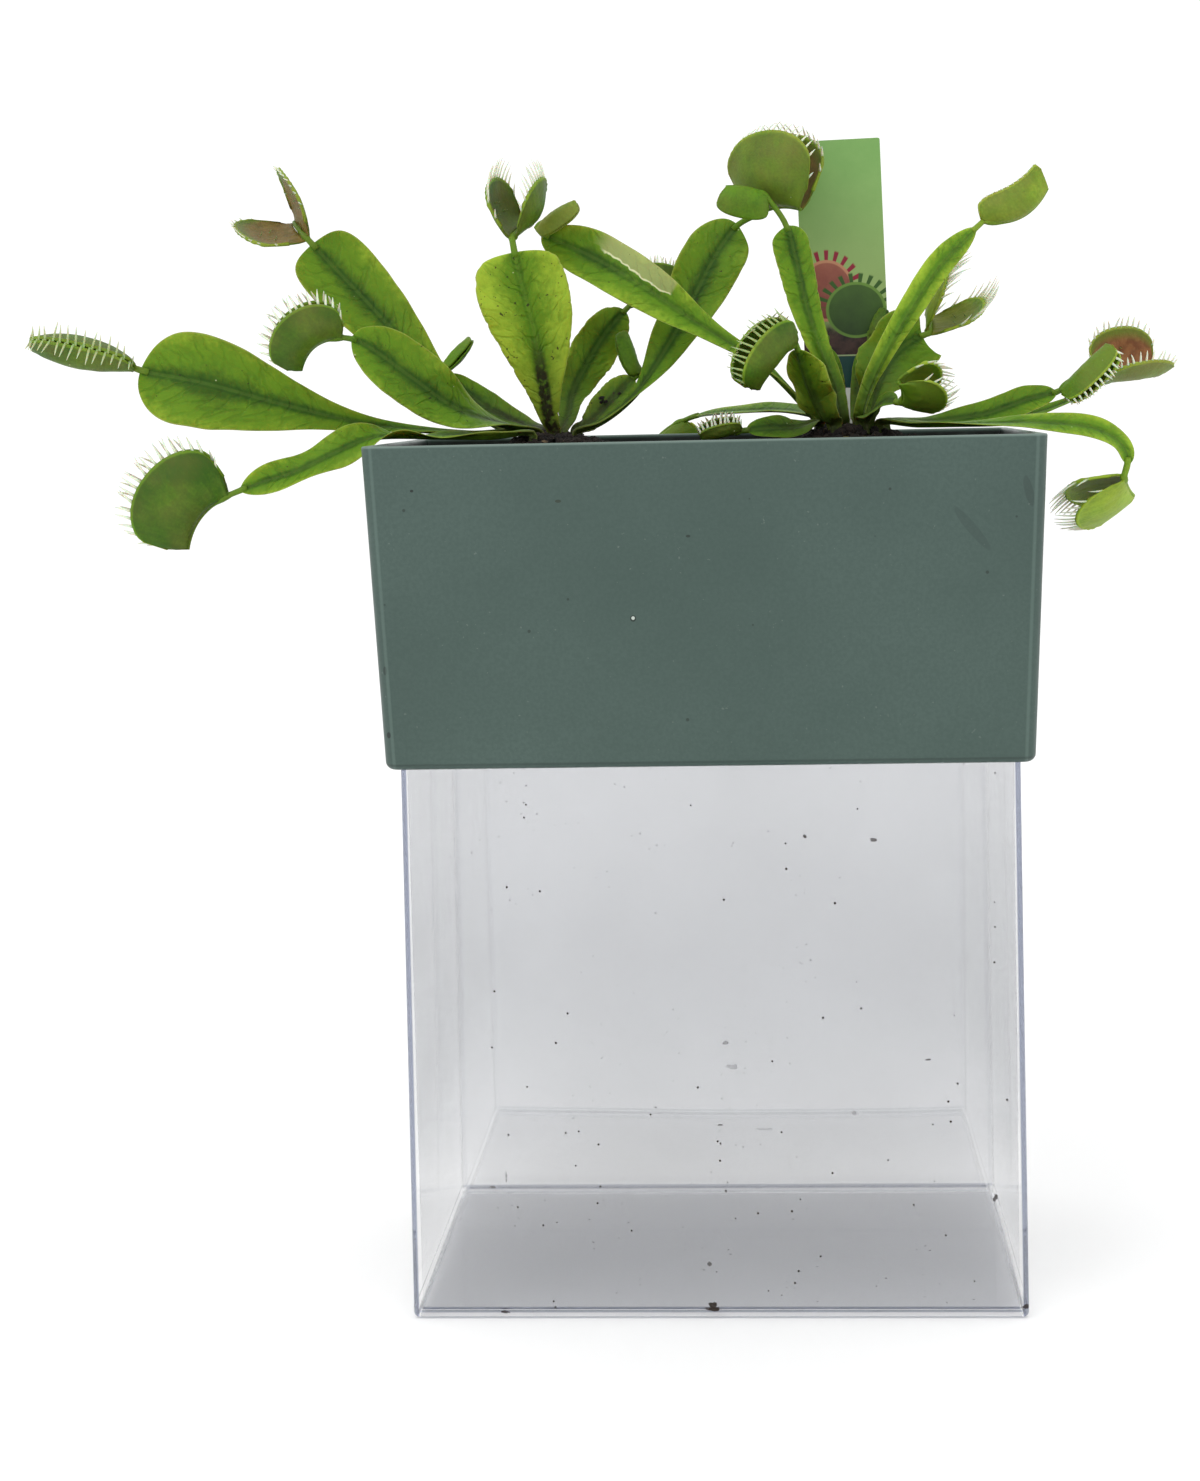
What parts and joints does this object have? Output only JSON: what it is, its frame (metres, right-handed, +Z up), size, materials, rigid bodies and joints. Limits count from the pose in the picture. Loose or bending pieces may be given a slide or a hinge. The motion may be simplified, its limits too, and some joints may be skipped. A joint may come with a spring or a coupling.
{
  "type": "potted venus flytrap",
  "caption": "Two Venus flytraps with flat leaf stalks and toothed traps in a rectangular planter, with a plain plant label, standing on a clear open-topped box.",
  "frame": {"origin": "middle of the underside of the clear box, which stands on the ground", "axes": "+X along the planter's long side, towards the right seen from the front; +Y from the planter's front to its back; +Z up"},
  "size_m": [0.3073, 0.1212, 0.3076],
  "materials": {
    "clear_plastic": "clear and glossy, faintly blue-grey at the edges",
    "planter_plastic": "smooth satin, dark grey-green",
    "soil": "rough, dark brown and crumbly",
    "label_plastic": "smooth coloured card",
    "crown": "rough, fibrous",
    "leaf": "fresh green, slightly waxy"
  },
  "bodies": {
    "root": {"clear_box": "clear_plastic", "pot": "planter_plastic", "soil": "soil", "label": "label_plastic", "crown_left": "crown", "crown_right": "crown", "leaf_left_1": "leaf", "leaf_left_2": "leaf", "leaf_left_3": "leaf", "leaf_left_4": "leaf", "leaf_left_5": "leaf", "leaf_left_6": "leaf", "leaf_left_7": "leaf", "leaf_left_8": "leaf", "leaf_left_9": "leaf", "leaf_right_1": "leaf", "leaf_right_2": "leaf", "leaf_right_3": "leaf", "leaf_right_4": "leaf", "leaf_right_5": "leaf", "leaf_right_6": "leaf", "leaf_right_7": "leaf", "leaf_right_8": "leaf", "leaf_right_9": "leaf", "leaf_right_10": "leaf", "leaf_right_11": "leaf", "leaf_right_12": "leaf", "leaf_right_13": "leaf"}
  },
  "joints": []
}
